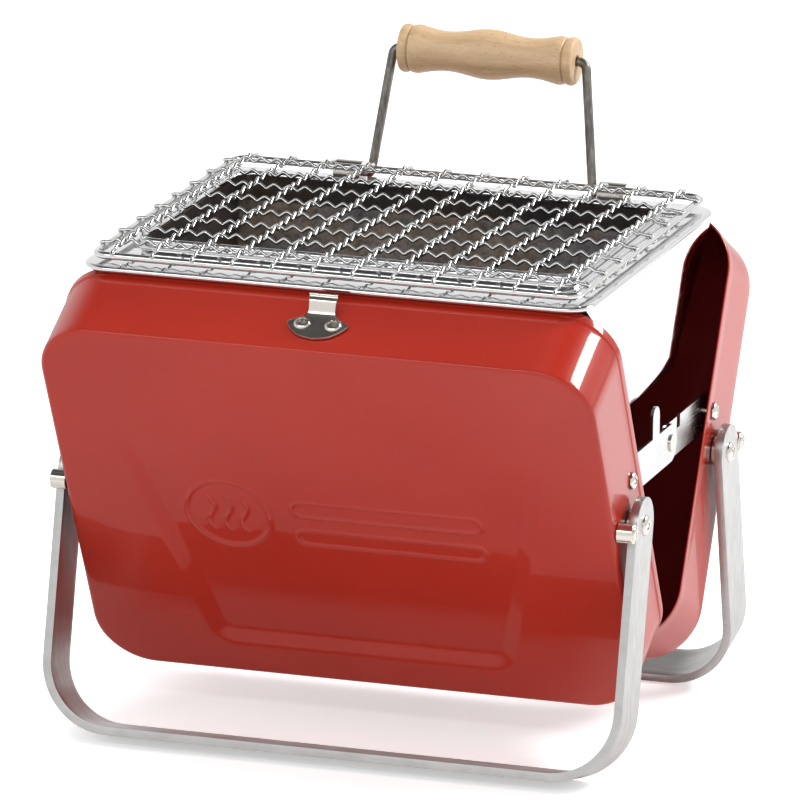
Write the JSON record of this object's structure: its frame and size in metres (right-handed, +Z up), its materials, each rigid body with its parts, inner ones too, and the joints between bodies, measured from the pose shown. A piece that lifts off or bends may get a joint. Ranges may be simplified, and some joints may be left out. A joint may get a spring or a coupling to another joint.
{
  "type": "portable tabletop grill",
  "caption": "Folding suitcase charcoal grill: two hinged red half-shells in a V on strap legs, steel firebox with crimped-wire grate on top, wire bail handle with wooden grip.",
  "frame": {"origin": "on the ground, at the centre of the whole open grill's footprint box, a few millimetres behind the hinge pin", "axes": "+Z up, X along the case and the hinge pin, -Y towards the front face, +Y towards the handle"},
  "size_m": [0.3246, 0.3183, 0.34],
  "materials": {
    "red_enamel": "glossy stoved red enamel on pressed steel",
    "zinc_steel": "bright zinc plate",
    "nickel_steel": "nickel plate, polished",
    "stay_steel": "bright stainless strip",
    "aluminium_strap": "mill finish, brushed along the strap",
    "mirror_stainless": "bright polished stainless sheet",
    "firebox_steel": "stainless sheet, heat darkened inside",
    "black_steel": "matt black steel plate",
    "chromed_wire": "bright chromed wire",
    "handle_steel": "grey steel wire",
    "beech": "turned beech, clear oil"
  },
  "bodies": {
    "rear_case": {"rear_shell": "red_enamel", "rear_hinge_leaf": "zinc_steel", "hinge_pin": "zinc_steel", "rear_hinge_rivets": "zinc_steel", "rear_leg_screws": "nickel_steel", "rear_leg_washers": "nickel_steel", "rear_stop_pins": "nickel_steel", "rear_stop_screws": "nickel_steel", "rear_stay_screws": "nickel_steel", "handle_saddles": "nickel_steel", "saddle_rivets": "zinc_steel", "latch_base": "nickel_steel", "latch_rivets": "zinc_steel", "latch_pin": "zinc_steel"},
    "front_case": {"front_shell": "red_enamel", "front_hinge_leaf": "zinc_steel", "front_hinge_rivets": "zinc_steel", "front_leg_screws": "nickel_steel", "front_leg_washers": "nickel_steel", "front_stop_pins": "nickel_steel", "front_stop_screws": "nickel_steel", "front_stay_screws": "nickel_steel", "latch_keeper": "nickel_steel", "keeper_screws": "nickel_steel"},
    "front_leg": {"front_leg": "aluminium_strap"},
    "rear_leg": {"rear_leg": "aluminium_strap"},
    "right_front_stay": {"right_front_stay": "stay_steel", "right_stay_rivet": "nickel_steel"},
    "left_front_stay": {"left_front_stay": "stay_steel", "left_stay_rivet": "nickel_steel"},
    "right_rear_stay": {"right_rear_stay": "stay_steel"},
    "left_rear_stay": {"left_rear_stay": "stay_steel"},
    "firebox": {"firebox_top_frame": "mirror_stainless", "firebox_tray": "firebox_steel", "firebox_side_skirts": "mirror_stainless", "charcoal_grate": "black_steel"},
    "cooking_grate": {"grate_frame_rod": "chromed_wire", "grate_cross_wires": "chromed_wire", "grate_long_wires": "chromed_wire"},
    "handle": {"handle_wire": "handle_steel"},
    "grip": {"handle_grip": "beech"},
    "latch_lever": {"latch_lever": "nickel_steel"},
    "latch_loop": {"latch_loop": "nickel_steel"}
  },
  "joints": [
    {"name": "case_fold", "type": "hinge", "parent": "rear_case", "child": "front_case", "pos_m": [0, -0.00429, 0.045], "axis": [-1, 0, 0], "range_deg": [0, 55]},
    {"name": "firebox_lift", "type": "slide", "parent": "rear_case", "child": "firebox", "axis": [0, 0, 1], "range_m": [0, 0.3005]},
    {"name": "grate_lift", "type": "slide", "parent": "firebox", "child": "cooking_grate", "axis": [0, 0, 1], "range_m": [0, 0.045]},
    {"name": "front_leg_swing", "type": "hinge", "parent": "front_case", "child": "front_leg", "pos_m": [0, -0.08196, 0.13681], "axis": [1, 0, 0], "range_deg": [0, 39]},
    {"name": "rear_leg_swing", "type": "hinge", "parent": "rear_case", "child": "rear_leg", "pos_m": [0, 0.07338, 0.13681], "axis": [-1, 0, 0], "range_deg": [0, 39]},
    {"name": "handle_swing", "type": "hinge", "parent": "rear_case", "child": "handle", "pos_m": [0, 0.1329, 0.25656], "axis": [1, 0, 0], "range_deg": [-100, 20]},
    {"name": "grip_spin", "type": "hinge", "parent": "handle", "child": "grip", "pos_m": [0, 0.14517, 0.32618], "axis": [1, 0, 0], "continuous": true},
    {"name": "latch_lever_swing", "type": "hinge", "parent": "rear_case", "child": "latch_lever", "pos_m": [0, 0.12704, 0.25397], "axis": [1, 0, 0], "range_deg": [0, 60]},
    {"name": "latch_loop_swing", "type": "hinge", "parent": "latch_lever", "child": "latch_loop", "pos_m": [0, 0.13669, 0.25301], "axis": [1, 0, 0], "range_deg": [0, 60]},
    {"name": "right_front_stay_fold", "type": "hinge", "parent": "front_case", "child": "right_front_stay", "pos_m": [0, -0.07897, 0.15922], "axis": [-1, 0, 0], "range_deg": [0, 31.6]},
    {"name": "right_rear_stay_fold", "type": "hinge", "parent": "rear_case", "child": "right_rear_stay", "pos_m": [0, 0.07039, 0.15922], "axis": [1, 0, 0], "range_deg": [0, 74.42]},
    {"name": "left_front_stay_fold", "type": "hinge", "parent": "front_case", "child": "left_front_stay", "pos_m": [0, -0.07897, 0.15922], "axis": [-1, 0, 0], "range_deg": [0, 31.6]},
    {"name": "left_rear_stay_fold", "type": "hinge", "parent": "rear_case", "child": "left_rear_stay", "pos_m": [0, 0.07039, 0.15922], "axis": [1, 0, 0], "range_deg": [0, 74.42]}
  ],
  "couplings": [
    {"joint": "firebox_lift", "follows": "case_fold", "m_per_rad": 0.31252},
    {"joint": "right_front_stay_fold", "follows": "case_fold", "ratio": 0.57087},
    {"joint": "right_rear_stay_fold", "follows": "case_fold", "ratio": 1.3495},
    {"joint": "left_front_stay_fold", "follows": "case_fold", "ratio": 0.57087},
    {"joint": "left_rear_stay_fold", "follows": "case_fold", "ratio": 1.3495}
  ]
}
